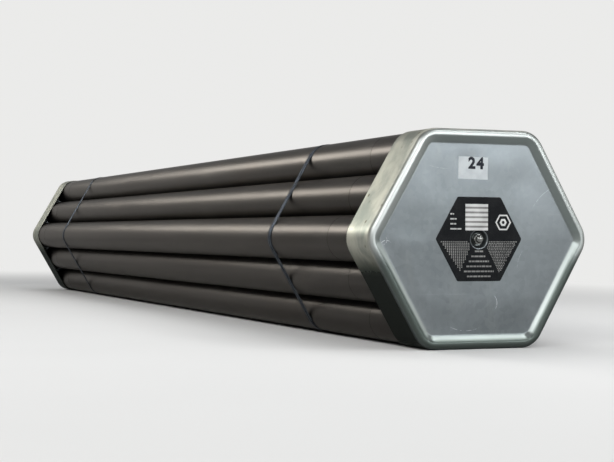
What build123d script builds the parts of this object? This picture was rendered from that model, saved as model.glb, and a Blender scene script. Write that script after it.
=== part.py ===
import os
from math import atan2, cos, degrees, sin, sqrt

from build123d import *

# A bundle of steel drill pipes, nested as a hexagon and closed at each end by a pressed
# hexagonal cap. One long rod through the middle pipe draws the two caps together, and
# two flat steel straps hold the pack.
# X runs across the bundle, Y along the pipes from the front cap to the back cap, Z is up.
# The origin is on the floor, below the middle of the bundle. Sizes are in millimetres.

# Pipes: nineteen wireline drill rods, laid side by side
pipe_outer_d = 88.9
pipe_wall = 5.55
pipe_length = 3000.0
pipes_per_side = 3
pipe_gap = 0.4

# Caps: pressed sheet, a deep wall that ends in a rounded rim round a sunk flat face
sheet = 2.0
pack_clearance = 1.0
cap_depth = 100.0
rim_outer_r = 9.0
rim_flat = 5.0
rim_slope = 12.0
rim_height = 7.5
crest_corner_r = 22.0

# Dimple in the middle of each cap, for the nut
dimple_depth = 8.0
dimple_flare = 4.0
dimple_floor_d = 25.0

# Tie rod and its crowned nuts
rod_d = 12.0
rod_clearance = 0.5
thread_clearance = 0.05
nut_flats = 18.0
nut_height = 8.0
crown_sides = 12
crown_flats = 15.0
crown_height = 7.5
crown_chamfer = 3.5

# Straps and the crimped seals that close them
strap_width = 19.0
strap_thickness = 0.8
strap_gap = 0.1
strap_setback = 505.0
seal_length = 34.0
seal_wall = 0.7
crimp_count = 2
crimp_depth = 2.5

# Places that follow from the sizes above
pipe_bore_d = pipe_outer_d - 2 * pipe_wall
pitch = pipe_outer_d + pipe_gap
row_rise = pitch * sqrt(3) / 2
rows_each_way = pipes_per_side - 1
pack_flats = 2 * rows_each_way * row_rise + pipe_outer_d
cap_flats = pack_flats + 2 * (pack_clearance + sheet)
cap_corner_r = pipe_outer_d / 2 + pack_clearance + sheet
axis_height = cap_flats / 2
crest_flats = cap_flats - 2 * (rim_outer_r + rim_flat)
pipe_end = pipe_length / 2
face_plane = pipe_end + sheet
rim_plane = face_plane + rim_height
mouth_plane = rim_plane - cap_depth
nut_seat = face_plane - dimple_depth
rod_end = nut_seat + nut_height
strap_plane = face_plane - strap_setback
strap_top = axis_height + pack_flats / 2 + strap_gap + strap_thickness
seal_x = pitch / 2 * (pipes_per_side % 2)


def section(distance, facing):
    """A plane across the bundle, at a distance from the middle, that faces outwards.

    facing is -1 for the front half and 1 for the back half."""
    return Plane(
        origin=(0, facing * distance, axis_height),
        x_dir=(-facing, 0, 0),
        z_dir=(0, facing, 0),
    )


def rounded_hexagon(flats, corner_r):
    """A hexagon with flats at the top and bottom and rounded corners."""
    RegularPolygon(radius=flats / 2, side_count=6, major_radius=False)
    fillet(vertices(), corner_r)


def pipe_places():
    """The axis of each pipe, row by row from the bottom."""
    places = []
    for row in range(-rows_each_way, rows_each_way + 1):
        count = 2 * pipes_per_side - 1 - abs(row)
        for index in range(count):
            x = (index - (count - 1) / 2) * pitch
            places.append((x, axis_height + row * row_rise))
    return places


def make_pipe(x, z):
    """One pipe, from the inside of one cap's face to the other's."""
    with BuildPart() as pipe:
        with BuildSketch(Plane(origin=(x, 0, z), x_dir=(1, 0, 0), z_dir=(0, -1, 0))):
            Circle(pipe_outer_d / 2)
            Circle(pipe_bore_d / 2, mode=Mode.SUBTRACT)
        extrude(amount=pipe_end, both=True)
    return pipe


def pressed_form(facing, inset):
    """The cap's form as a block: its outside at no inset, its inside at one sheet's inset.

    A sloping wall keeps its inset when its mouth is drawn larger by a part of the inset.
    The inside, which is never seen, is chamfered and has square corners behind the rim."""
    outward = Axis((0, 0, 0), (0, facing, 0))
    top = rim_plane - inset
    rim_angle = atan2(rim_slope, rim_height)
    rim_shift = inset * (1 - sin(rim_angle)) / cos(rim_angle)
    dimple_angle = atan2(dimple_flare, dimple_depth)
    dimple_shift = inset * (1 - sin(dimple_angle)) / cos(dimple_angle)
    with BuildPart() as form:
        with BuildSketch(section(mouth_plane, facing)):
            rounded_hexagon(cap_flats - 2 * inset, cap_corner_r - inset)
        extrude(amount=top - mouth_plane)
        rim_edges = form.faces().sort_by(outward)[-1].edges()
        if inset:
            chamfer(rim_edges, (rim_outer_r - inset) * (2 - sqrt(2)))
        else:
            fillet(rim_edges, rim_outer_r)
        with BuildSketch(section(top, facing)):
            if inset:
                RegularPolygon(crest_flats / 2 + rim_shift, side_count=6, major_radius=False)
            else:
                rounded_hexagon(crest_flats, crest_corner_r)
        extrude(amount=-rim_height, taper=degrees(rim_angle), mode=Mode.SUBTRACT)
        with BuildSketch(section(top - rim_height, facing)):
            Circle(dimple_floor_d / 2 + dimple_flare + dimple_shift)
        extrude(amount=-dimple_depth, taper=degrees(dimple_angle), mode=Mode.SUBTRACT)
    return form


def make_cap(facing):
    """One end cap: sheet pressed over the pack's end, with a hole for the rod."""
    outside = pressed_form(facing, 0)
    inside = pressed_form(facing, sheet)
    with BuildPart() as cap:
        add(outside.part)
        add(inside.part, mode=Mode.SUBTRACT)
        with BuildSketch(section(nut_seat, facing)):
            Circle(rod_d / 2 + rod_clearance)
        extrude(amount=-sheet, mode=Mode.SUBTRACT)
    return cap


def make_tie_rod():
    """The long rod through the middle pipe, into the nut at each end."""
    with BuildPart() as rod:
        with BuildSketch(section(0, 1)):
            Circle(rod_d / 2)
        extrude(amount=rod_end, both=True)
    return rod


def make_nut(facing):
    """The crowned nut: a hexagon below, a crown above, and a blind bore for the rod."""
    outward = Axis((0, 0, 0), (0, facing, 0))
    with BuildPart() as nut:
        with BuildSketch(section(nut_seat, facing)):
            RegularPolygon(radius=nut_flats / 2, side_count=6, major_radius=False)
        extrude(amount=nut_height)
        with BuildSketch(section(nut_seat + nut_height, facing)):
            RegularPolygon(crown_flats / 2, side_count=crown_sides, major_radius=False)
        extrude(amount=crown_height)
        chamfer(nut.faces().sort_by(outward)[-1].edges(), crown_chamfer)
        with BuildSketch(section(nut_seat, facing)):
            Circle(rod_d / 2 + thread_clearance)
        extrude(amount=nut_height, mode=Mode.SUBTRACT)
    return nut


def make_strap(facing):
    """A flat band drawn tight round the pack, round at the corner pipes and straight between."""
    inner_flats = pack_flats + 2 * strap_gap
    inner_r = pipe_outer_d / 2 + strap_gap
    with BuildPart() as strap:
        with BuildSketch(section(strap_plane - strap_width / 2, facing)):
            rounded_hexagon(inner_flats + 2 * strap_thickness, inner_r + strap_thickness)
            with BuildSketch(mode=Mode.SUBTRACT):
                rounded_hexagon(inner_flats, inner_r)
        extrude(amount=strap_width)
    return strap


def make_seal(facing):
    """The crimped sleeve that closes a strap, on top, over the valley between two pipes."""
    middle = (seal_x, facing * strap_plane, strap_top - strap_thickness / 2)
    outer_width = strap_width + 2 * seal_wall
    outer_height = strap_thickness + 2 * seal_wall
    with BuildPart() as seal:
        with BuildSketch(Plane(origin=middle, x_dir=(0, 1, 0), z_dir=(1, 0, 0))):
            Rectangle(outer_width, outer_height)
            Rectangle(strap_width, strap_thickness, mode=Mode.SUBTRACT)
        extrude(amount=seal_length / 2, both=True)
        with BuildSketch(Plane(origin=middle)):
            with GridLocations(seal_length / crimp_count, outer_width, crimp_count, 2):
                RegularPolygon(radius=crimp_depth, side_count=4)
        extrude(amount=outer_height / 2, both=True, mode=Mode.SUBTRACT)
    return seal


def save(piece, name):
    piece.part.label = name
    export_step(piece.part, f"parts/{name}.step")


os.makedirs("parts", exist_ok=True)

for number, (x, z) in enumerate(pipe_places(), start=1):
    save(make_pipe(x, z), f"pipe_{number:02d}")

for side, facing in (("front", -1), ("back", 1)):
    save(make_cap(facing), f"{side}_cap")
    save(make_nut(facing), f"{side}_nut")
    save(make_strap(facing), f"{side}_strap")
    save(make_seal(facing), f"{side}_strap_seal")

save(make_tie_rod(), "tie_rod")
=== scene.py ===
import math
import random

import bmesh
import bpy
from mathutils import Matrix, Vector, noise


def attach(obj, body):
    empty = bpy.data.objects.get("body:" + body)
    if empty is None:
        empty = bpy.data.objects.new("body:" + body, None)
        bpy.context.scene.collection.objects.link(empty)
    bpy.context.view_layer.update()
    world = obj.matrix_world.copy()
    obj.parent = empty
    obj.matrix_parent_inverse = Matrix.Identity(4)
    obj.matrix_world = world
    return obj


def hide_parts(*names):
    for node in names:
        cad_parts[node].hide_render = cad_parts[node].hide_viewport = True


# The bundle of steel pipes: nested pipes, two pressed zinc caps, two straps, a printed
# label and a number sticker. Shapes are in millimetres until mesh_piece makes them metres.
# Textures, floor, lamps and camera are in metres. X runs across the bundle, Y along the
# pipes from the front cap to the back cap, Z is up.

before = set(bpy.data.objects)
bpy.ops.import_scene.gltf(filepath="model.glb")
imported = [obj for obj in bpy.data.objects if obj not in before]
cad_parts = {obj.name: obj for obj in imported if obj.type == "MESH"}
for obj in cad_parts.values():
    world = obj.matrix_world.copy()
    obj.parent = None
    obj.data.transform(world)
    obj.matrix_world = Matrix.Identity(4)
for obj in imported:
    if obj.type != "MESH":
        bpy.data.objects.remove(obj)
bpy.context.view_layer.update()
scene = bpy.context.scene
rng = random.Random(31)

MM = 0.001
COS30 = 0.866
SIDES = (("front", -1), ("back", 1))

# Pipes
PIPE_R = 44.45
BORE_R = 38.9
PITCH = 89.3
HALF_LENGTH = 1500.0
JOINT_LENGTH = 188.0
GROOVE_DEPTH = 0.35

# Caps: RIM, FACE and MOUTH are distances from the middle of the bundle along Y
SHEET = 2.0
CLEARANCE = 1.0
CAP_FLATS = 404.244
CAP_HALF = CAP_FLATS / 2
CAP_CORNER_R = PIPE_R + CLEARANCE + SHEET
CAP_DEPTH = 100.0
AXIS_Z = CAP_HALF
RIM = 1509.5
FACE = 1502.0
MOUTH = RIM - CAP_DEPTH
RIM_R = 9.0
FOOT_R = 5.5
SLOPE_TILT = 32
DIMPLE_DEPTH = 8
LIP_R = 2.6
LIP_TILT = 63.4
HOLE_R = 6.5

# Nuts
NUT_SEAT = FACE - DIMPLE_DEPTH
NUT_FLATS = 18.0
NUT_HEIGHT = 8.0
NUT_BORE_R = 6.05
DOME_FROM = 9.8
DOME_R = 7.45
DOME_RISE = 5.7

# Straps and seals
PACK_HALF = 199.122
STRAP_GAP = 0.1
STRAP_SETBACK = 505.0
STRAP_Y = FACE - STRAP_SETBACK
STRAP_IN = PACK_HALF + STRAP_GAP
STRAP_T = 0.8
STRAP_TOP = AXIS_Z + STRAP_IN + STRAP_T
SEAL_X = PITCH / 2
SEAL_LENGTH = 34.0
BITE_AT = 8.5
BITE_DEPTH = 2.4

# Label and sticker: heights above the cap's face
FILM_UNDER = 0.02
FILM_TOP = 0.16
PRINT_TOP = 0.20
DIGITS_TOP = 0.22
LABEL_HALF = 77.5
LABEL_CORNER_R = 5.0
LABEL_HOLE_R = 18.7
STICKER_SIZE = (61.0, 41.0)
STICKER_PLACE = (-13.0, 130.5)
STICKER_TILT = -1.2


def smooth(t):
    t = min(1.0, max(0.0, t))
    return t * t * (3 - 2 * t)


def hex_ring(apothem, corner_r, corner_steps=10, side_steps=14):
    """Points of a rounded hexagon with its flats at the top and bottom, as (x, z)."""
    reach = (apothem - corner_r) / math.cos(math.radians(30))
    arcs = []
    for k in range(6):
        cx = reach * math.cos(math.radians(60 * k))
        cz = reach * math.sin(math.radians(60 * k))
        arc = []
        for i in range(corner_steps + 1):
            a = math.radians(60 * k - 30 + 60 * i / corner_steps)
            arc.append((cx + corner_r * math.cos(a), cz + corner_r * math.sin(a)))
        arcs.append(arc)
    ring = []
    for k in range(6):
        ring += arcs[k]
        x0, z0 = arcs[k][-1]
        x1, z1 = arcs[(k + 1) % 6][0]
        for j in range(1, side_steps):
            t = j / side_steps
            ring.append((x0 + (x1 - x0) * t, z0 + (z1 - z0) * t))
    return ring


def round_ring(radius, like):
    """A circle whose points lie in the same directions as those of another ring."""
    ring = []
    for x, z in like:
        size = math.hypot(x, z)
        ring.append((x / size * radius, z / size * radius))
    return ring


def blend_rings(start, end, t):
    return [(a[0] + (b[0] - a[0]) * t, a[1] + (b[1] - a[1]) * t) for a, b in zip(start, end)]


def points_of(rings):
    return [point for ring in rings for point in ring]


def bridge(rings, closed=True):
    """Quads between rings that all have the same number of points."""
    n = len(rings[0])
    faces = []
    last = len(rings) if closed else len(rings) - 1
    for r in range(last):
        a = r * n
        b = (r + 1) % len(rings) * n
        for i in range(n):
            j = (i + 1) % n
            faces.append((a + i, a + j, b + j, b + i))
    return faces


def mesh_piece(name, verts, faces, materials, marks=None, inks=None, sharp=None):
    """Makes an object from points in millimetres.

    marks maps an attribute to its point values, inks gives each face its material, and
    edges bent by more than sharp degrees stay hard under the smooth shading.
    """
    mesh = bpy.data.meshes.new(name)
    mesh.from_pydata([(x * MM, y * MM, z * MM) for x, y, z in verts], [], faces)
    for key, values in (marks or {}).items():
        layer = mesh.attributes.new(key, "FLOAT", "POINT")
        layer.data.foreach_set("value", values)
    for material in materials:
        mesh.materials.append(material)
    if inks:
        mesh.polygons.foreach_set("material_index", inks)
    bm = bmesh.new()
    bm.from_mesh(mesh)
    bmesh.ops.recalc_face_normals(bm, faces=bm.faces)
    bm.to_mesh(mesh)
    bm.free()
    mesh.shade_smooth()
    if sharp:
        mesh.set_sharp_from_angle(angle=math.radians(sharp))
    obj = bpy.data.objects.new(name, mesh)
    scene.collection.objects.link(obj)
    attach(obj, "root")
    return obj


# Node helpers. What goes in is a socket or a plain value, and what comes out is a socket.

def feed(tree, socket, value):
    """Links the value to an input if it is a socket, and otherwise sets the input to it."""
    if isinstance(value, bpy.types.NodeSocket):
        tree.links.new(value, socket)
    else:
        socket.default_value = value


def add_node(tree, kind, output, **inputs):
    made = tree.nodes.new(kind)
    for key, value in inputs.items():
        feed(tree, made.inputs[key.replace("_", " ")], value)
    return made.outputs[output]


def math_node(tree, operation, *values, clamp=False):
    made = tree.nodes.new("ShaderNodeMath")
    made.operation = operation
    made.use_clamp = clamp
    for socket, value in zip(made.inputs, values):
        feed(tree, socket, value)
    return made.outputs[0]


def fold(tree, operation, *values):
    """Joins two or more values by the same operation."""
    total = values[0]
    for value in values[1:]:
        total = math_node(tree, operation, total, value)
    return total


def weigh(tree, base, *terms):
    """The base plus value times weight for each term, held between 0 and 1 at the end."""
    total = base
    for value, weight in terms[:-1]:
        total = math_node(tree, "MULTIPLY_ADD", value, weight, total)
    value, weight = terms[-1]
    return math_node(tree, "MULTIPLY_ADD", value, weight, total, clamp=True)


def vector_node(tree, operation, *vectors, output="Vector"):
    made = tree.nodes.new("ShaderNodeVectorMath")
    made.operation = operation
    for socket, value in zip(made.inputs, vectors):
        feed(tree, socket, value)
    return made.outputs[output]


def remap(tree, value, low, high, to_low=0.0, to_high=1.0):
    made = tree.nodes.new("ShaderNodeMapRange")
    made.interpolation_type = "SMOOTHSTEP"
    tree.links.new(value, made.inputs["Value"])
    made.inputs["From Min"].default_value = low
    made.inputs["From Max"].default_value = high
    made.inputs["To Min"].default_value = to_low
    made.inputs["To Max"].default_value = to_high
    return made.outputs["Result"]


def mix(tree, factor, a, b):
    """Blends from colour a to colour b."""
    made = tree.nodes.new("ShaderNodeMix")
    made.data_type = "RGBA"
    feed(tree, made.inputs[0], factor)
    for socket, colour in ((made.inputs[6], a), (made.inputs[7], b)):
        feed(tree, socket, (*colour, 1.0) if isinstance(colour, tuple) else colour)
    return made.outputs[2]


def place(tree, source, scale=(1, 1, 1), turn=(0, 0, 0), shift=(0, 0, 0)):
    turn = [math.radians(a) for a in turn]
    return add_node(tree, "ShaderNodeMapping", "Vector", Vector=source, Scale=scale,
                    Rotation=turn, Location=shift)


def cloud(tree, where, scale, detail=3.0, rough=0.5, distortion=0.0):
    return add_node(tree, "ShaderNodeTexNoise", "Fac", Vector=where, Scale=scale,
                    Detail=detail, Roughness=rough, Distortion=distortion)


def channel(tree, colour, name):
    return add_node(tree, "ShaderNodeSeparateColor", name, Color=colour)


def mark(tree, key):
    """The point attribute that mesh_piece wrote under this name."""
    made = tree.nodes.new("ShaderNodeAttribute")
    made.attribute_name = key
    return made.outputs["Fac"]


def shown_rays(tree):
    """1 for what the camera sees directly, in metal or through glass, and 0 for lighting."""
    path = tree.nodes.new("ShaderNodeLightPath").outputs
    return fold(tree, "MAXIMUM", path["Is Camera Ray"], path["Is Transmission Ray"],
                path["Is Glossy Ray"])


def start_material(name, metallic, **constants):
    material = bpy.data.materials.new(name)
    material.use_nodes = True
    tree = material.node_tree
    shader = tree.nodes["Principled BSDF"]
    shader.inputs["Metallic"].default_value = metallic
    for key, value in constants.items():
        value = (*value, 1.0) if isinstance(value, tuple) else value
        shader.inputs[key.replace("_", " ")].default_value = value
    where = tree.nodes.new("ShaderNodeTexCoord").outputs["Object"]
    return material, tree, shader, where


def finish_material(tree, shader, colour, rough, bumps):
    """Bumps stack up: each is a height socket, a strength and a distance in metres."""
    tree.links.new(colour, shader.inputs["Base Color"])
    tree.links.new(rough, shader.inputs["Roughness"])
    normal = None
    for height, strength, distance in bumps:
        below = {"Normal": normal} if normal else {}
        normal = add_node(tree, "ShaderNodeBump", "Normal", Strength=strength,
                          Distance=distance, Height=height, **below)
    tree.links.new(normal, shader.inputs["Normal"])


def streaks(tree, where, turn, length_scale, across_scale, low, high, shift):
    """Thin scratches: noise drawn out along one direction and cut off high."""
    laid = place(tree, where, (length_scale, across_scale, across_scale), turn, shift)
    return remap(tree, cloud(tree, laid, 1.0, 2.0, 0.45, 0.35), low, high)


def arc_mark(tree, flat, centre, radius, width, aim, spread):
    """A thin curved mark on the front face. Lengths in mm from its middle, angles in degrees."""
    middle = (centre[0] * MM, 0, (AXIS_Z + centre[1]) * MM)
    aim = math.radians(aim)
    spread = math.radians(spread)
    away = vector_node(tree, "SUBTRACT", flat, middle)
    size = vector_node(tree, "LENGTH", away, output="Value")
    off = math_node(tree, "ABSOLUTE", math_node(tree, "SUBTRACT", size, radius * MM))
    line = remap(tree, off, width * MM, 0.0)
    unit = vector_node(tree, "NORMALIZE", away)
    along = vector_node(tree, "DOT_PRODUCT", unit, (math.cos(aim), 0, math.sin(aim)),
                        output="Value")
    part = remap(tree, along, math.cos(spread), math.cos(spread * 0.5))
    return math_node(tree, "MULTIPLY", line, part)


def face_marks(tree, where):
    """The few marks of the front face: faint arcs, a long curve and a small scuff."""
    flat = vector_node(tree, "MULTIPLY", where, (1, 0, 1))
    arcs = []
    for centre, radius, width, aim, spread, level in (
        ((18, -118), 20, 0.9, 5, 42, 0.8),
        ((-26, -92), 76, 0.8, -93, 26, 0.7),
        ((196, 10), 96, 0.8, 133, 20, 0.45),
        ((-188, -16), 13, 1.0, 95, 55, 1.0),
        ((-196, -2), 9, 1.2, -20, 60, 0.9),
        ((150, -60), 70, 0.7, 160, 16, 0.4),
        ((-60, 300), 172, 0.6, -98, 7, 0.4),
    ):
        arc = arc_mark(tree, flat, centre, radius, width, aim, spread)
        arcs.append(math_node(tree, "MULTIPLY", arc, level))
    depth = add_node(tree, "ShaderNodeSeparateXYZ", "Y", Vector=where)
    front = remap(tree, depth, -1.47, -1.49)
    broken = remap(tree, cloud(tree, where, 260.0, 2.0), 0.36, 0.56)
    return fold(tree, "MULTIPLY", fold(tree, "MAXIMUM", *arcs), front, broken)


# Materials

def make_zinc():
    material, tree, shader, where = start_material(
        "zinc_sheet", 0.82, Specular_IOR_Level=0.2, Specular_Tint=(0.26, 0.29, 0.275))
    wall, crest, painted_dimple_shade, under, rub, painted_highlight, low = (
        mark(tree, key) for key in ("wall", "crest", "painted_dimple_shade", "under", "rub", "painted_highlight", "low"))
    broad = cloud(tree, where, 4.0, 3.0, 0.5, 0.5)
    middle = cloud(tree, place(tree, where, (1, 1, 0.7)), 22.0, 4.0, 0.6)
    grain = cloud(tree, where, 420.0, 3.0, 0.7)
    spangle = add_node(tree, "ShaderNodeTexVoronoi", "Color", Vector=where, Scale=110.0)
    spangle = channel(tree, spangle, "Red")

    # The sheet, painted lighter and warmer on the wall for the light that falls on the sides,
    # and painted shade making the wall dark where it faces down
    colour = mix(tree, remap(tree, broad, 0.3, 0.7),
                 (0.104, 0.116, 0.122), (0.130, 0.144, 0.151))
    colour = mix(tree, remap(tree, middle, 0.46, 0.74, 0.0, 0.11), colour, (0.24, 0.26, 0.27))
    colour = mix(tree, fold(tree, "MULTIPLY", spangle, 0.045), colour, (0.40, 0.42, 0.43))
    wall_colour = mix(tree, remap(tree, middle, 0.3, 0.68),
                      (0.232, 0.243, 0.218), (0.39, 0.381, 0.33))
    # Painted shade: the wall's lower half goes nearly black
    wall_colour = mix(tree, fold(tree, "MULTIPLY", under, 0.95), wall_colour,
                      (0.014, 0.018, 0.016))
    colour = mix(tree, wall, colour, wall_colour)

    # Pale smudges and brown specks, mostly on the upper wall
    flow = place(tree, where, (6.0, 6.0, 2.2), shift=(0.3, 0.2, 0.9))
    smudge = remap(tree, cloud(tree, flow, 2.6, 5.0, 0.65, 0.8), 0.56, 0.74)
    smudge = fold(tree, "MULTIPLY", smudge,
                  math_node(tree, "MULTIPLY_ADD", wall, 0.55, 0.04),
                  math_node(tree, "MULTIPLY_ADD", under, -1.0, 1.0))
    colour = mix(tree, smudge, colour, (0.50, 0.495, 0.43))
    speck = tree.nodes.new("ShaderNodeTexVoronoi")
    speck.inputs["Scale"].default_value = 62.0
    tree.links.new(place(tree, where, shift=(0.7, 0.1, 0.4)), speck.inputs["Vector"])
    specks = fold(tree, "MULTIPLY",
                  remap(tree, speck.outputs["Distance"], 0.30, 0.10),
                  remap(tree, channel(tree, speck.outputs["Color"], "Green"), 0.80, 0.86),
                  math_node(tree, "SUBTRACT", wall, under, clamp=True), 0.75)
    colour = mix(tree, specks, colour, (0.12, 0.10, 0.07))

    # Fine scratches off the rim, and the face's own marks
    scratch = fold(tree, "MAXIMUM",
                   streaks(tree, where, (0, 14, 0), 5.0, 420.0, 0.70, 0.76, (0.1, 0.4, 0.2)),
                   streaks(tree, where, (0, -58, 0), 22.0, 700.0, 0.72, 0.79, (0.6, 0.2, 0.8)),
                   streaks(tree, where, (0, 0, 90), 12.0, 500.0, 0.71, 0.78, (0.4, 0.4, 0.1)))
    gate = remap(tree, cloud(tree, where, 9.0, 2.0), 0.50, 0.64)
    calm = weigh(tree, 1.0, (fold(tree, "MAXIMUM", crest, rub), -1.0))
    scratch = fold(tree, "MULTIPLY", scratch, gate, calm, 0.045)
    colour = mix(tree, scratch, colour, (0.50, 0.53, 0.54))
    marks = face_marks(tree, where)
    colour = mix(tree, fold(tree, "MULTIPLY", marks, 0.55), colour, (0.62, 0.65, 0.66))

    # The rim's parts and the dimple: a painted highlight where the rim faces the light,
    # painted shade on the rim's lowest edge and in the dimple
    colour = mix(tree, crest, colour, (0.165, 0.190, 0.179))
    colour = mix(tree, rub, colour, (0.275, 0.293, 0.285))
    # Painted highlight where the rim faces the light
    colour = mix(tree, painted_highlight, colour, (0.40, 0.425, 0.415))
    # Painted shade on the rim's lowest edge
    colour = mix(tree, low, colour, (0.062, 0.074, 0.068))
    # Painted shade in the dimple
    colour = mix(tree, fold(tree, "MULTIPLY", painted_dimple_shade, 0.7), colour, (0.05, 0.055, 0.053))

    rough = weigh(tree, 0.262, (broad, 0.08), (spangle, 0.02), (wall, 0.12), (smudge, 0.25),
                  (specks, 0.3), (marks, 0.25), (rub, 0.02))
    finish_material(tree, shader, colour, rough, [
        (broad, 0.12, 0.005),
        (middle, 0.02, 0.0010),
        (grain, 0.010, 0.0002),
        (marks, 0.12, -0.0003),
    ])
    return material


def make_pipe_steel():
    material, tree, shader, where = start_material(
        "oiled_pipe_steel", 0.9, Specular_IOR_Level=0.3, Specular_Tint=(0.60, 0.58, 0.56))
    tone = mark(tree, "tone")
    joint = mark(tree, "joint")

    # Each pipe's own tone also moves the texture, so that no two pipes look alike
    lift = add_node(tree, "ShaderNodeCombineXYZ", 0, X=fold(tree, "MULTIPLY", tone, 7.0),
                    Y=fold(tree, "MULTIPLY", tone, 3.0), Z=tone)
    where = vector_node(tree, "ADD", where, lift)

    drawn = cloud(tree, place(tree, where, (38, 1.4, 38)), 1.0, 5.0, 0.62)
    patch = cloud(tree, place(tree, where, (9, 2.4, 9)), 1.0, 4.0, 0.6, 0.7)
    fine = cloud(tree, place(tree, where, (260, 60, 260)), 1.0, 3.0, 0.65)
    colour = mix(tree, remap(tree, drawn, 0.30, 0.72),
                 (0.027, 0.0262, 0.0250), (0.051, 0.049, 0.0465))
    colour = mix(tree, remap(tree, patch, 0.50, 0.74, 0.0, 0.55), colour,
                 (0.072, 0.068, 0.063))
    colour = mix(tree, remap(tree, patch, 0.46, 0.26, 0.0, 0.7), colour, (0.034, 0.030, 0.027))
    rub = fold(tree, "MAXIMUM",
               streaks(tree, where, (0, 0, 90), 9.0, 300.0, 0.66, 0.75, (0.2, 0.5, 0.1)),
               streaks(tree, where, (0, 0, 0), 16.0, 900.0, 0.72, 0.8, (0.9, 0.3, 0.5)))
    rub = fold(tree, "MULTIPLY", rub, 0.4)
    colour = mix(tree, rub, colour, (0.17, 0.155, 0.13))
    colour = mix(tree, fold(tree, "MULTIPLY", joint, 0.35), colour, (0.022, 0.021, 0.021))
    shade = tree.nodes.new("ShaderNodeVectorMath")
    shade.operation = "SCALE"
    tree.links.new(colour, shade.inputs[0])
    tree.links.new(remap(tree, tone, 0.0, 1.0, 0.75, 1.25), shade.inputs["Scale"])

    rough = weigh(tree, 0.25, (drawn, 0.16), (patch, 0.10), (rub, 0.15), (joint, -0.03))
    finish_material(tree, shader, shade.outputs[0], rough, [
        (patch, 0.10, 0.0015),
        (drawn, 0.14, 0.0006),
        (fine, 0.08, 0.00015),
    ])
    return material


def make_strap_steel():
    material, tree, shader, where = start_material(
        "strap_steel", 0.8, Specular_IOR_Level=0.2, Specular_Tint=(0.2, 0.22, 0.25))
    wide = cloud(tree, place(tree, where, (14, 60, 14)), 1.0, 4.0, 0.6)
    fine = cloud(tree, place(tree, where, (70, 900, 70)), 1.0, 3.0, 0.6)
    colour = mix(tree, remap(tree, wide, 0.3, 0.7),
                 (0.014, 0.018, 0.024), (0.034, 0.042, 0.052))
    worn = fold(tree, "MULTIPLY", mark(tree, "edge"), remap(tree, fine, 0.42, 0.62), 0.6)
    colour = mix(tree, worn, colour, (0.16, 0.17, 0.18))
    scuff = fold(tree, "MULTIPLY", remap(tree, fine, 0.62, 0.72), 0.35)
    colour = mix(tree, scuff, colour, (0.12, 0.13, 0.14))
    finish_material(tree, shader, colour, weigh(tree, 0.30, (wide, 0.22)),
                    [(wide, 0.10, 0.0005), (fine, 0.08, 0.0001)])
    return material


def make_plated():
    material, tree, shader, where = start_material("plated_fastener", 1.0)
    broad = cloud(tree, where, 120.0, 3.0)
    fine = cloud(tree, where, 1500.0, 2.0)
    colour = mix(tree, remap(tree, broad, 0.35, 0.7), (0.15, 0.155, 0.15), (0.23, 0.235, 0.225))
    colour = mix(tree, remap(tree, fine, 0.62, 0.78, 0.0, 0.4), colour, (0.10, 0.10, 0.095))
    finish_material(tree, shader, colour, weigh(tree, 0.20, (broad, 0.08)),
                    [(broad, 0.03, 0.0004), (fine, 0.03, 0.00005)])
    return material


def make_film(name, dark, light, roughness):
    """Printed film: the ground and each ink share the same wear."""
    material, tree, shader, where = start_material(name, 0.0, Specular_IOR_Level=0.05)
    broad = cloud(tree, where, 30.0, 4.0, 0.6)
    fine = cloud(tree, where, 900.0, 3.0, 0.6)
    colour = mix(tree, remap(tree, broad, 0.35, 0.68), dark, light)
    dust = fold(tree, "MULTIPLY", remap(tree, fine, 0.60, 0.74), 0.16)
    colour = mix(tree, dust, colour, (0.22, 0.22, 0.21))
    finish_material(tree, shader, colour, weigh(tree, roughness, (broad, 0.22)),
                    [(broad, 0.06, 0.0004), (fine, 0.05, 0.00004)])
    return material


def make_paper():
    material, tree, shader, where = start_material("sticker_paper", 0.0, Specular_IOR_Level=0.15)
    broad = cloud(tree, where, 42.0, 4.0, 0.6)
    fibre = cloud(tree, place(tree, where, (900, 900, 2600)), 1.0, 3.0, 0.6)
    colour = mix(tree, remap(tree, broad, 0.35, 0.7), (0.455, 0.49, 0.51), (0.525, 0.56, 0.575))
    colour = mix(tree, remap(tree, fibre, 0.5, 0.75, 0.0, 0.25), colour, (0.34, 0.35, 0.37))
    finish_material(tree, shader, colour, weigh(tree, 0.38, (broad, 0.12)),
                    [(broad, 0.10, 0.0004), (fibre, 0.10, 0.00005)])
    return material


zinc = make_zinc()
pipe_steel = make_pipe_steel()
strap_steel = make_strap_steel()
plated = make_plated()
film_black = make_film("label_black", (0.005, 0.006, 0.007), (0.011, 0.012, 0.013), 0.34)
ink_white = make_film("label_white", (0.50, 0.505, 0.50), (0.62, 0.625, 0.62), 0.38)
ink_grey = make_film("label_grey", (0.17, 0.17, 0.167), (0.26, 0.26, 0.254), 0.38)
ink_pale = make_film("label_pale", (0.40, 0.405, 0.40), (0.52, 0.525, 0.52), 0.38)
ink_digit = make_film("sticker_ink", (0.012, 0.014, 0.02), (0.03, 0.032, 0.04), 0.4)
paper = make_paper()


# Pipes

def pipe_axes():
    """The axis of each pipe, in the order of the CAD nodes: row by row from the bottom."""
    axes = []
    for row in range(-2, 3):
        count = 5 - abs(row)
        for index in range(count):
            x = (index - (count - 1) / 2) * PITCH
            axes.append((x, AXIS_Z + row * PITCH * math.sqrt(3) / 2))
    return axes


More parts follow.
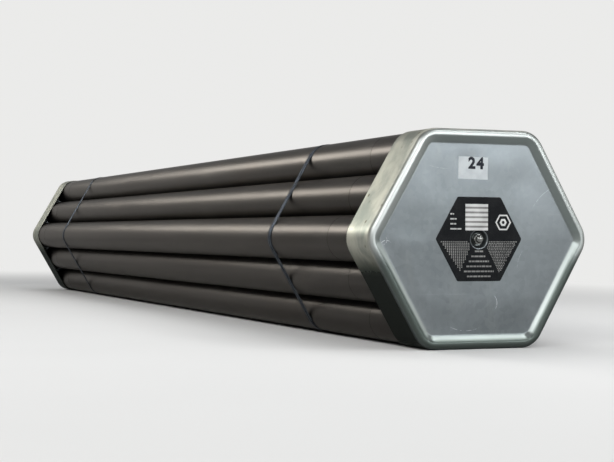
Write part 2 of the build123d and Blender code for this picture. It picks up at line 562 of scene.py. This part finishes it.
def make_pipe(number, x0, z0, sides=72):
    """A pipe with bevelled ends and a fine groove where each joint begins.

    Each entry of the profile is a place along Y, a radius and how much it belongs to the
    joint, which is a little darker.
    """
    groove = HALF_LENGTH - JOINT_LENGTH
    half = [(groove + step, PIPE_R - depth, joint) for step, depth, joint in (
        (-8.0, 0, 0.0), (-2.0, 0, 0.0), (-1.2, 0, 0.0), (-0.7, GROOVE_DEPTH, 0.6),
        (0.7, GROOVE_DEPTH, 0.8), (1.2, 0, 1.0), (2.0, 0, 1.0), (8.0, 0, 1.0),
    )]
    half += [(HALF_LENGTH - back, radius, 1.0) for back, radius in (
        (3.0, PIPE_R), (1.0, PIPE_R), (0.3, PIPE_R - 0.3),
        (0, PIPE_R - 1.0), (0, BORE_R + 1.0), (1.0, BORE_R),
    )]
    profile = [(-y, radius, joint) for y, radius, joint in reversed(half)]
    profile += [(y, PIPE_R, 0.0) for y in (-600.0, 0.0, 600.0)]
    profile += half
    tone = rng.random()
    turn = rng.random() * math.tau
    rings = []
    joints = []
    for y, radius, joint in profile:
        ring = []
        for i in range(sides):
            a = turn + math.tau * i / sides
            ring.append((x0 + radius * math.cos(a), y, z0 + radius * math.sin(a)))
        rings.append(ring)
        joints += [joint] * sides
    obj = mesh_piece(f"pipe_{number:02d}_steel", points_of(rings), bridge(rings),
                     [pipe_steel], {"joint": joints, "tone": [tone] * len(joints)}, sharp=25)
    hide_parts(f"pipe_{number:02d}")


for number, (x, z) in enumerate(pipe_axes(), start=1):
    make_pipe(number, x, z)


# Caps

def face_lift(x, z):
    """How far the sunk face bows outwards, in mm, at a place given from its middle."""
    size = math.hypot(x, z)
    flats = max(abs(z), abs(x * COS30 + z * 0.5), abs(x * COS30 - z * 0.5))
    weight = smooth((size - 88) / 35) * smooth((168 - flats) / 22)
    wave = noise.noise(Vector((x / 95, z / 80, 2.7)))
    small = noise.noise(Vector((x / 42, z / 38, 8.1)))
    return 0.7 * weight * (wave + 0.4 * small)


def wall_dent(x, y, z):
    """How far the side wall lies inside its true flat, in mm."""
    wave = noise.noise(Vector((x / 90, y / 60, z / 90)))
    small = noise.noise(Vector((x / 30, y / 26, z / 30 + 5)))
    return 0.32 + 0.22 * wave + 0.10 * small


def towards(x, z, aim_x, aim_z):
    """1 on the side of the cap that faces this way, falling to 0 beside it."""
    return smooth(((x * aim_x + z * aim_z) / math.hypot(x, z) - 0.80) / 0.14)


def cap_steps():
    """The rings of a cap from the mouth over the rim to the dimple and back inside.

    Each is a ring, its place along Y, its marks (wall, crest, painted_dimple_shade, which is
    the dimple's painted shade, and rub) and what moves it: "wall" is dented, "face" is bowed
    and "still" stays.
    """
    outline = hex_ring(CAP_HALF, CAP_CORNER_R)
    steps = []

    def hexagon(inset, y, corner_r, move="still", wall=0, crest=0, rub=0):
        steps.append((hex_ring(CAP_HALF - inset, corner_r), y, wall, crest, 0.0, rub, move))

    def circle(radius, y, painted_dimple_shade=0.0):
        steps.append((round_ring(radius, outline), y, 0.0, 0.0, painted_dimple_shade, 0.0, "still"))

    # The lip, the wall and the rounded outer edge of the rim
    for inset, y in ((SHEET, 30), (SHEET, 0.7), (1.6, 0.15), (1.0, 0), (0.4, 0.15), (0, 0.7),
                     (0, 2), (0, 4), (0, 12), (0, 24), (0, 36), (0, 48), (0, 60), (0, 72),
                     (0, 82)):
        hexagon(inset, MOUTH + y, CAP_CORNER_R - inset, "wall", wall=1)
    for i in range(11):
        a = math.radians(9 * i)
        inset = RIM_R - RIM_R * math.cos(a)
        hexagon(inset, RIM - RIM_R + RIM_R * math.sin(a), CAP_CORNER_R - inset,
                "still" if i > 3 else "wall", wall=1 - i / 10, rub=smooth((i - 4) / 4))

    # The rim's top, its rounded inner edge and the slope down to the sunk face
    hexagon(10.0, RIM - 0.02, 35.0, rub=1)
    for i in range(9):
        a = math.radians(SLOPE_TILT * i / 8)
        inset = 11.4 + RIM_R * math.sin(a)
        hexagon(inset, RIM - RIM_R + RIM_R * math.cos(a), 43.5 - inset,
                crest=0.78 * smooth((i - 1) / 5), rub=1 - smooth((i - 1) / 4))
    hexagon(20.4, RIM - 4.0, 22.4, crest=0.70)
    for i in range(9):
        a = math.radians(SLOPE_TILT * (1 - i / 8))
        inset = 27.6 - FOOT_R * math.sin(a)
        hexagon(inset, FACE + FOOT_R - FOOT_R * math.cos(a), 41.0 - inset - i * 0.3,
                crest=0.55 - 0.055 * i)

    # The face, whose rings turn from hexagons into circles
    for inset, blend in ((29.5, 0), (32.5, 0), (37, 0), (43, 0.02), (52, 0.05), (62, 0.1),
                         (73, 0.17), (85, 0.26), (98, 0.38), (112, 0.52), (128, 0.68),
                         (146, 0.84), (164, 0.95)):
        hexed = hex_ring(CAP_HALF - inset, max(1.5, 13 - inset * 0.09))
        rounded = round_ring((CAP_HALF - inset) * 1.06, outline)
        steps.append((blend_rings(hexed, rounded, blend), FACE, 0.0, 0.0, 0.0, 0.0, "face"))

    # The dimple: a rounded lip, a sloping side and the floor with the rod's hole
    circle(20.5, FACE)
    for i in range(7):
        a = math.radians(LIP_TILT * i / 6)
        circle(18.6 - LIP_R * math.sin(a) * 0.95, FACE - LIP_R + LIP_R * math.cos(a),
               0.1 + i / 14)
    # The dimple's marks give it painted shade, deepest on its floor
    for radius, depth, painted_dimple_shade in ((13.9, 5.4, 0.55), (13.1, 7.1, 0.9), (12.4, 7.75, 1),
                                (11.4, DIMPLE_DEPTH, 1), (HOLE_R, DIMPLE_DEPTH, 1)):
        circle(radius, FACE - depth, painted_dimple_shade)

    # The unseen inner side
    circle(HOLE_R, NUT_SEAT - SHEET)
    circle(12.6, NUT_SEAT - SHEET)
    circle(17.8, FACE - SHEET)
    hexagon(25.4, FACE - SHEET, 8)
    hexagon(13.4, RIM - SHEET, 20)
    hexagon(8, RIM - SHEET, CAP_CORNER_R - 8)
    hexagon(SHEET, RIM - 8, CAP_CORNER_R - SHEET, wall=1)
    return steps


def make_cap(side, facing):
    """A pressed cap, with the marks that make_zinc reads.

    wall is the side, crest the rim's inner slope, rub the rim's worn top, painted_dimple_shade
    the painted shade in the dimple, under the painted shade on the side's lower half, low the
    painted shade on the rim's lowest edge, and painted_highlight the painted highlight where
    the rim faces the light.
    """
    steps = cap_steps()
    verts = []
    marks = {key: [] for key in ("wall", "crest", "painted_dimple_shade", "under", "rub", "low", "painted_highlight")}
    for ring, y, wall, crest, painted_dimple_shade, rub, move in steps:
        for x, z in ring:
            flats = max(abs(z), abs(x) * COS30 + abs(z) * 0.5)
            # The rim's lowest outer edge, which the zinc darkens as painted shade
            outer = smooth((flats - CAP_HALF + 21) / 5)
            low = smooth((-z - 8) / 50) * outer * smooth((y - RIM + 5) / 4)
            out = y + face_lift(x, z) if move == "face" else y
            if move == "wall":
                dent = wall_dent(x, facing * y, z) * smooth((RIM - 4 - y) / 8)
                shrink = 1 - dent / math.hypot(x, z)
                x *= shrink
                z *= shrink
            verts.append((x, facing * out, AXIS_Z + z))
            # Painted highlight on the upper-left rim and the lower slopes, which face the light
            upper_left = towards(x, z, -COS30, 0.5) * max(rub, crest * 0.9)
            lower_slopes = towards(abs(x), z, COS30, -0.5) * crest * 0.35
            marks["wall"].append(wall)
            marks["crest"].append(crest)
            marks["painted_dimple_shade"].append(painted_dimple_shade)
            # under marks the wall's lower half, which the zinc darkens as painted shade
            marks["under"].append(smooth((-z - 8) / 60) if wall else 0.0)
            marks["rub"].append(rub * (1 - low))
            marks["low"].append(low)
            marks["painted_highlight"].append(max(upper_left, lower_slopes) * (1 - low))
    obj = mesh_piece(f"{side}_cap_sheet", verts, bridge([ring for ring, *_ in steps]),
                     [zinc], marks, sharp=50)
    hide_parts(f"{side}_cap")


for side, facing in SIDES:
    make_cap(side, facing)


# Nuts

def make_nut(side, facing, around=96):
    """A hexagon nut with a domed top. Its bore ends blind, under the dome."""
    # Height above the seat and radius, which the hexagon's flats cut off further down
    profile = [
        (0.0, NUT_BORE_R), (0.0, 9.3), (0.5, 9.9), (0.9, 10.6), (6.3, 10.6), (7.2, 9.6),
        (7.9, 8.6), (NUT_HEIGHT, 7.9), (8.1, 7.55), (8.6, 7.5), (DOME_FROM, DOME_R),
    ]
    for i in range(1, 12):
        a = math.radians(7.5 * i)
        profile.append((DOME_FROM + DOME_RISE * math.sin(a), DOME_R * math.cos(a)))
    profile.append((DOME_FROM + DOME_RISE, 0.4))

    def ring_at(height, radius):
        ring = []
        for i in range(around):
            a = math.tau * i / around
            off_flat = (a + math.radians(30)) % math.radians(60) - math.radians(30)
            limit = NUT_FLATS / 2 / math.cos(off_flat)
            r = min(radius, limit) if height < NUT_HEIGHT else radius
            ring.append((r * math.sin(a), facing * (NUT_SEAT + height),
                         AXIS_Z + r * math.cos(a)))
        return ring

    rings = [ring_at(height, radius) for height, radius in profile]
    faces = bridge(rings, closed=False)
    top = (len(rings) - 1) * around
    faces.append(tuple(top + i for i in range(around)))
    rings.append(ring_at(NUT_HEIGHT, NUT_BORE_R))
    deep = top + around
    for i in range(around):
        j = (i + 1) % around
        faces.append((i, j, deep + j, deep + i))
    faces.append(tuple(deep + i for i in range(around)))
    obj = mesh_piece(f"{side}_domed_nut", points_of(rings), faces,
                     [plated], sharp=35)
    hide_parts(f"{side}_nut")


for side, facing in SIDES:
    make_nut(side, facing)


# Straps and their seals

def strap_skew(x, z):
    """How far a strap leans along the pipes, in mm: hand-laid straps are never quite square."""
    return 0.010 * x + 0.014 * (z - AXIS_Z)


def make_strap(side, facing):
    # The band's section, as height above its inner side and place across its width
    section = [
        (0.0, -9.30), (0.15, -9.5), (0.65, -9.5), (STRAP_T, -9.30),
        (STRAP_T, 9.30), (0.65, 9.5), (0.15, 9.5), (0.0, 9.30),
    ]
    rings = []
    edge = []
    for out, across in section:
        ring = []
        for x, z in hex_ring(STRAP_IN + out, PIPE_R + STRAP_GAP + out, 20, 12):
            y = facing * STRAP_Y + across + strap_skew(x, AXIS_Z + z)
            ring.append((x, y, AXIS_Z + z))
        rings.append(ring)
        edge += [1.0 if abs(across) > 9.2 else 0.0] * len(ring)
    obj = mesh_piece(f"{side}_strap_band", points_of(rings), bridge(rings),
                     [strap_steel], {"edge": edge}, sharp=50)
    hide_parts(f"{side}_strap")


def make_seal(side, facing, stations=69):
    """The crimped sleeve: a folded band whose edges are bitten in twice on each side."""

    def bite(x):
        near = min(abs(x - BITE_AT), abs(x + BITE_AT))
        return BITE_DEPTH * smooth(1 - near / 3.0)

    def loop(x, half_width, low, high, corner):
        """One rounded oblong round the strap, from low to high about its middle."""
        ring = []
        for cy, cz, start in (
            (half_width - corner, high - corner, 0), (-half_width + corner, high - corner, 90),
            (-half_width + corner, low + corner, 180), (half_width - corner, low + corner, 270),
        ):
            for i in range(4):
                a = math.radians(start + 30 * i)
                across = cy + corner * math.cos(a)
                y = facing * STRAP_Y + across + strap_skew(SEAL_X + x, STRAP_TOP)
                z = STRAP_TOP - STRAP_T / 2 + (cz + corner * math.sin(a))
                ring.append((SEAL_X + x, y, z))
        return ring

    places = [-SEAL_LENGTH / 2 + SEAL_LENGTH * i / (stations - 1) for i in range(stations)]
    rings = []
    edge = []
    for x in places:
        flare = 0.12 * smooth((abs(x) - 14.5) / 2.5)
        dip = 0.10 * bite(x)
        rings.append(loop(x, 10.2 - bite(x), -1.1 + dip * 0.5, 1.1 + flare - dip, 0.5))
        edge += [1.0 if bite(x) > 0.3 else 0.35] * len(rings[-1])
    for x in reversed(places):
        rings.append(loop(x, 9.55 - bite(x), -0.42, 0.42, 0.2))
        edge += [0.2] * len(rings[-1])
    obj = mesh_piece(f"{side}_seal_sleeve", points_of(rings), bridge(rings),
                     [strap_steel], {"edge": edge}, sharp=50)
    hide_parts(f"{side}_strap_seal")


for side, facing in SIDES:
    make_strap(side, facing)
    make_seal(side, facing)

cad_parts["tie_rod"].data.materials.clear()
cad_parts["tie_rod"].data.materials.append(plated)


# Label and sticker on the front cap. u runs right and v up as seen from the front.

def on_face(u, v, height):
    """A place raised by a height over the cap's face, given from the face's middle."""
    return (u, -(FACE + face_lift(u, v) + height), AXIS_Z + v)


def make_label_film():
    """The label's ground: a hexagon with a round hole for the dimple."""
    outline = hex_ring(LABEL_HALF, LABEL_CORNER_R, 6, 12)
    rings = []
    verts = []

    def add(ring, height):
        rings.append(ring)
        verts.extend(on_face(u, v, height) for u, v in ring)

    add(outline, FILM_UNDER)
    add(outline, FILM_TOP - 0.02)
    add(hex_ring(LABEL_HALF - 0.5, LABEL_CORNER_R, 6, 12), FILM_TOP)
    for blend in (0.2, 0.4, 0.6, 0.8, 1.0):
        size = 77.0 + (LABEL_HOLE_R - 77.0) * blend
        hexed = hex_ring(size, LABEL_CORNER_R * size / 77, 6, 12)
        add(blend_rings(hexed, round_ring(size, outline), blend), FILM_TOP)
    add(rings[-1], FILM_UNDER)
    mesh_piece("label_film", verts, bridge(rings, closed=False), [film_black],
               sharp=40)


make_label_film()


class Print:
    """Flat marks gathered into one mesh, each with the index of its ink."""

    WHITE, GREY, PALE = range(3)

    def __init__(self):
        self.verts = []
        self.faces = []
        self.inks = []

    def polygon(self, points, ink):
        first = len(self.verts)
        self.verts += [on_face(u, v, PRINT_TOP) for u, v in points]
        self.faces.append(tuple(range(first, first + len(points))))
        self.inks.append(ink)

    def bar(self, u, v, width, height, ink):
        self.polygon([(u, v), (u + width, v), (u + width, v + height), (u, v + height)], ink)

    def hexagon(self, u, v, outer, inner, ink):
        """A hexagonal band round (u, v). outer and inner reach from there to its corners."""
        for k in range(6):
            a = math.radians(60 * k)
            b = math.radians(60 * (k + 1) % 360)
            self.polygon([(u + outer * math.cos(a), v + outer * math.sin(a)),
                          (u + outer * math.cos(b), v + outer * math.sin(b)),
                          (u + inner * math.cos(b), v + inner * math.sin(b)),
                          (u + inner * math.cos(a), v + inner * math.sin(a))], ink)


def row_span(corners, v):
    """Where a level line at v crosses a convex panel."""
    hits = []
    for (u0, v0), (u1, v1) in zip(corners, corners[1:] + corners[:1]):
        if (v0 - v) * (v1 - v) < 0:
            hits.append(u0 + (u1 - u0) * (v - v0) / (v1 - v0))
    return (min(hits), max(hits)) if len(hits) > 1 else None


def make_label_print():
    """Plain generic marks in the label's layout, with no lettering."""
    marks = Print()

    # White bars with grey between them, short lines on the left and two hexagons
    for i in range(6):
        marks.bar(-28.5, 59.4 - 8.7 * i, 47.0, 5.0, Print.WHITE)
        if i:
            marks.bar(-28.5, 64.4 - 8.7 * i, 47.0, 3.7, Print.GREY)
    for i, width in enumerate((7, 13, 12, 24)):
        u = -59.5
        for length in (width * 0.55, width * 0.35):
            marks.bar(u, 44.6 - 9.1 * i, length, 2.7, Print.PALE)
            u += length + 1.2
    marks.hexagon(50.5, 31, 16.5, 13.4, Print.WHITE)
    marks.hexagon(50.5, 31, 16.5 * 0.45, 13.4 * 0.24, Print.WHITE)

    # The lower panels: small slanted dashes on the left, broken lines on the right
    left_panel = [(-81, -2.5), (-21.5, -2.5), (-16.5, -16), (-38, -61)]
    right_panel = [(81, -2.5), (21.5, -2.5), (16.5, -16), (43, -64)]
    v = -5.0
    row = 0
    while v > -64:
        span = row_span(left_panel, v)
        if span:
            u = span[0] + (row % 2) * 2.0
            while u + 3.0 < span[1]:
                marks.polygon([(u, v - 1.0), (u + 2.2, v - 1.0), (u + 3.0, v + 0.9),
                               (u + 0.8, v + 0.9)], Print.GREY)
                u += 4.0
        span = row_span(right_panel, v)
        if span:
            u = span[0] + 0.4
            while u + 1.6 < span[1]:
                length = min(rng.uniform(1.4, 4.6), span[1] - u)
                marks.bar(u, v - 0.7, length, 1.5, Print.GREY)
                u += length + 1.3
        v -= 2.9
        row += 1

    # The middle panel's lines, each broken into a few pieces
    for i, width in enumerate((17, 32, 42, 52, 62, 49)):
        u = -width / 2
        while u < width / 2 - 2:
            length = min(rng.uniform(3.5, 9.0), width / 2 - u)
            marks.bar(u, -24.0 - 9.2 * i, length, 3.0, Print.GREY)
            u += length + 1.1
    mesh_piece("label_print", marks.verts, marks.faces,
               [ink_white, ink_grey, ink_pale], inks=marks.inks)


make_label_print()


def on_sticker(u, v, height):
    """A place given from the sticker's middle. Its lower right corner curls a little."""
    tilt = math.radians(STICKER_TILT)
    x = STICKER_PLACE[0] + u * math.cos(tilt) - v * math.sin(tilt)
    z = STICKER_PLACE[1] + u * math.sin(tilt) + v * math.cos(tilt)
    curl = 0.5 * smooth((u - 20) / 10) * smooth((-v - 12) / 10)
    return on_face(x, z, height + curl)


def make_sticker(columns=12, rows=9):
    def spot(i, j, height):
        return on_sticker(STICKER_SIZE[0] * (i / columns - 0.5),
                          STICKER_SIZE[1] * (j / rows - 0.5), height)

    def index(i, j):
        return j * (columns + 1) + i

    verts = [spot(i, j, FILM_TOP) for j in range(rows + 1) for i in range(columns + 1)]
    faces = []
    for j in range(rows):
        for i in range(columns):
            faces.append((index(i, j), index(i + 1, j), index(i + 1, j + 1), index(i, j + 1)))

    # A low skirt round the edge, which gives the paper its thickness
    skirt = [(i, 0) for i in range(columns)] + [(columns, j) for j in range(rows)]
    skirt += [(columns - i, rows) for i in range(columns)] + [(0, rows - j) for j in range(rows)]
    first = len(verts)
    verts += [spot(i, j, 0.03) for i, j in skirt]
    for n, (i, j) in enumerate(skirt):
        after = (n + 1) % len(skirt)
        faces.append((index(i, j), index(*skirt[after]), first + after, first + n))
    mesh_piece("number_sticker", verts, faces, [paper], sharp=40)


def make_digits():
    """The number as flat outlines that follow the sticker."""
    text = bpy.data.curves.new("digits", "FONT")
    text.body = "24"
    text.size = 28.5 * MM
    text.align_x = "CENTER"
    text.offset = 1.3 * MM
    text.space_character = 1.22
    holder = bpy.data.objects.new("digits_outline", text)
    scene.collection.objects.link(holder)
    flat = bpy.data.meshes.new_from_object(holder)
    bpy.data.objects.remove(holder)
    verts = [on_sticker(v.co.x / MM + 6.0, v.co.y / MM - 0.5, DIGITS_TOP)
             for v in flat.vertices]
    faces = [tuple(p.vertices) for p in flat.polygons]
    mesh_piece("sticker_digits", verts, faces, [ink_digit])


make_sticker()
make_digits()


# Floor, light and world

PALE = (0.83, 0.83, 0.82)


def make_floor(around=64):
    """A wide disc that turns into the background's even tone some way from the bundle."""
    turns = [math.tau * i / around for i in range(around)]
    rings = [[(r * math.cos(a), r * math.sin(a), 0) for a in turns]
             for r in (40, 24, 16, 11, 7, 4, 2)]
    verts = points_of(rings) + [(0, 0, 0)]
    centre = len(verts) - 1
    inner = centre - around
    faces = bridge(rings, closed=False)
    faces += [(inner + i, inner + (i + 1) % around, centre) for i in range(around)]
    mesh = bpy.data.meshes.new("floor")
    mesh.from_pydata(verts, [], faces)
    floor = bpy.data.objects.new("floor", mesh)
    scene.collection.objects.link(floor)

    material, tree, shader, where = start_material(
        "pale_floor", 0.0, Roughness=0.7, Specular_IOR_Level=0.25)
    soft = cloud(tree, where, 0.7, 3.0)
    shown = mix(tree, remap(tree, soft, 0.3, 0.7), (0.71, 0.71, 0.705), (0.74, 0.74, 0.735))
    colour = mix(tree, shown_rays(tree), (0.24, 0.24, 0.24), shown)
    tree.links.new(colour, shader.inputs["Base Color"])
    glow = add_node(tree, "ShaderNodeEmission", 0, Color=(*PALE, 1))
    oval = place(tree, where, (1.0, 0.55, 1.0))
    away = vector_node(tree, "LENGTH", oval, output="Value")
    blend = tree.nodes.new("ShaderNodeMixShader")
    tree.links.new(remap(tree, away, 0.75, 2.5), blend.inputs[0])
    tree.links.new(shader.outputs[0], blend.inputs[1])
    tree.links.new(glow, blend.inputs[2])
    tree.links.new(blend.outputs[0], tree.nodes["Material Output"].inputs["Surface"])
    mesh.materials.append(material)


make_floor()


def make_world():
    """The background that is seen, also in the metal, and a plainer one that lights."""
    world = bpy.data.worlds.new("studio")
    scene.world = world
    world.use_nodes = True
    tree = world.node_tree
    back = tree.nodes["Background"]
    direction = tree.nodes.new("ShaderNodeTexCoord").outputs["Generated"]
    up = add_node(tree, "ShaderNodeSeparateXYZ", "Z", Vector=direction)
    seen = mix(tree, remap(tree, up, 0.15, 0.50), PALE, (0.24, 0.25, 0.26))
    light = mix(tree, remap(tree, up, -0.1, 0.9), (0.10, 0.10, 0.10), (0.30, 0.31, 0.32))
    tree.links.new(mix(tree, shown_rays(tree), light, seen), back.inputs["Color"])
    back.inputs["Strength"].default_value = 1.0


make_world()

WHITE = (1, 1, 1)
COOL = (0.95, 0.98, 1.0)
WARM = (1.0, 0.98, 0.94)


def area_lamp(name, at, aim, size, power, colour=WHITE, half_spread=50.0):
    """A soft box. Its grid keeps light off the floor below it; power counts as without one."""
    lamp = bpy.data.lights.new(name, "AREA")
    lamp.shape = "RECTANGLE"
    lamp.size, lamp.size_y = size
    a = math.radians(half_spread)
    lamp.spread = 2 * a
    lamp.energy = power * (math.tan(a) - a) / math.tan(a)
    lamp.color = colour
    obj = bpy.data.objects.new(name, lamp)
    scene.collection.objects.link(obj)
    obj.location = at
    obj.visible_camera = False
    obj.rotation_mode = "QUATERNION"
    obj.rotation_quaternion = (Vector(aim) - Vector(at)).to_track_quat("-Z", "Y")


area_lamp("overhead", (0.4, -0.2, 3.0), (0.2, 0, 0), (1.2, 4.2), 50, half_spread=75.0)
area_lamp("back_high", (-1.85, 3.15, 1.74), (-0.1, -1.4, 0.3), (1.3, 0.9), 91, WARM, 42.0)
area_lamp("far_front", (2.35, -5.8, 1.10), (0, -1.5, 0.2), (1.1, 0.42), 50, COOL)
area_lamp("front_right_high", (1.35, -4.3, 2.25), (0, -1.5, 0.3), (0.7, 0.9), 15)
area_lamp("front_low", (0.1, -5.75, 1.4), (0, -1.5, 0.3), (1.5, 0.35), 16)
area_lamp("right_low", (2.8, -4.0, 1.05), (0, -1.5, 0.3), (0.9, 0.5), 8)
area_lamp("right", (3.4, -2.1, 1.3), (0, -1.5, 0.2), (1.0, 1.0), 11)
area_lamp("above_camera", (-1.6, -4.7, 1.95), (0, -1.5, 0.2), (1.8, 0.8), 53)
area_lamp("left_front", (-2.45, -3.1, 2.05), (0, -1.5, 0.2), (1.0, 0.7), 22, (1.0, 0.99, 0.96))
area_lamp("left_high", (-1.9, 0.25, 2.35), (-0.2, -1.5, 0.35), (2.0, 0.6), 24)
area_lamp("above_face", (1.25, -2.75, 2.05), (0, -1.5, 0.03), (0.5, 0.4), 14.5)


def make_camera():
    """The camera stands where the photograph was taken from, turned to the bundle."""
    data = bpy.data.cameras.new("camera")
    camera = bpy.data.objects.new("camera", data)
    scene.collection.objects.link(camera)
    camera.location = (-1.2853, -3.8387, 0.2084)
    yaw = math.radians(22.0)
    pitch = math.radians(0.15)
    roll = math.radians(0.302)
    level = math.cos(pitch)
    ahead = Vector((math.sin(yaw) * level, math.cos(yaw) * level, math.sin(pitch)))
    right = Vector((math.cos(yaw), -math.sin(yaw), 0))
    above = right.cross(ahead)
    right_rolled = right * math.cos(roll) + above * math.sin(roll)
    above_rolled = above * math.cos(roll) - right * math.sin(roll)
    turn = Matrix((right_rolled, above_rolled, -ahead)).transposed()
    camera.rotation_mode = "QUATERNION"
    camera.rotation_quaternion = turn.to_quaternion()
    data.sensor_fit = "HORIZONTAL"
    data.sensor_width = 36.0
    data.lens = data.sensor_width * 1440 / 614
    data.clip_start = 0.05
    data.clip_end = 200
    scene.camera = camera


make_camera()
scene.view_settings.view_transform = "Standard"
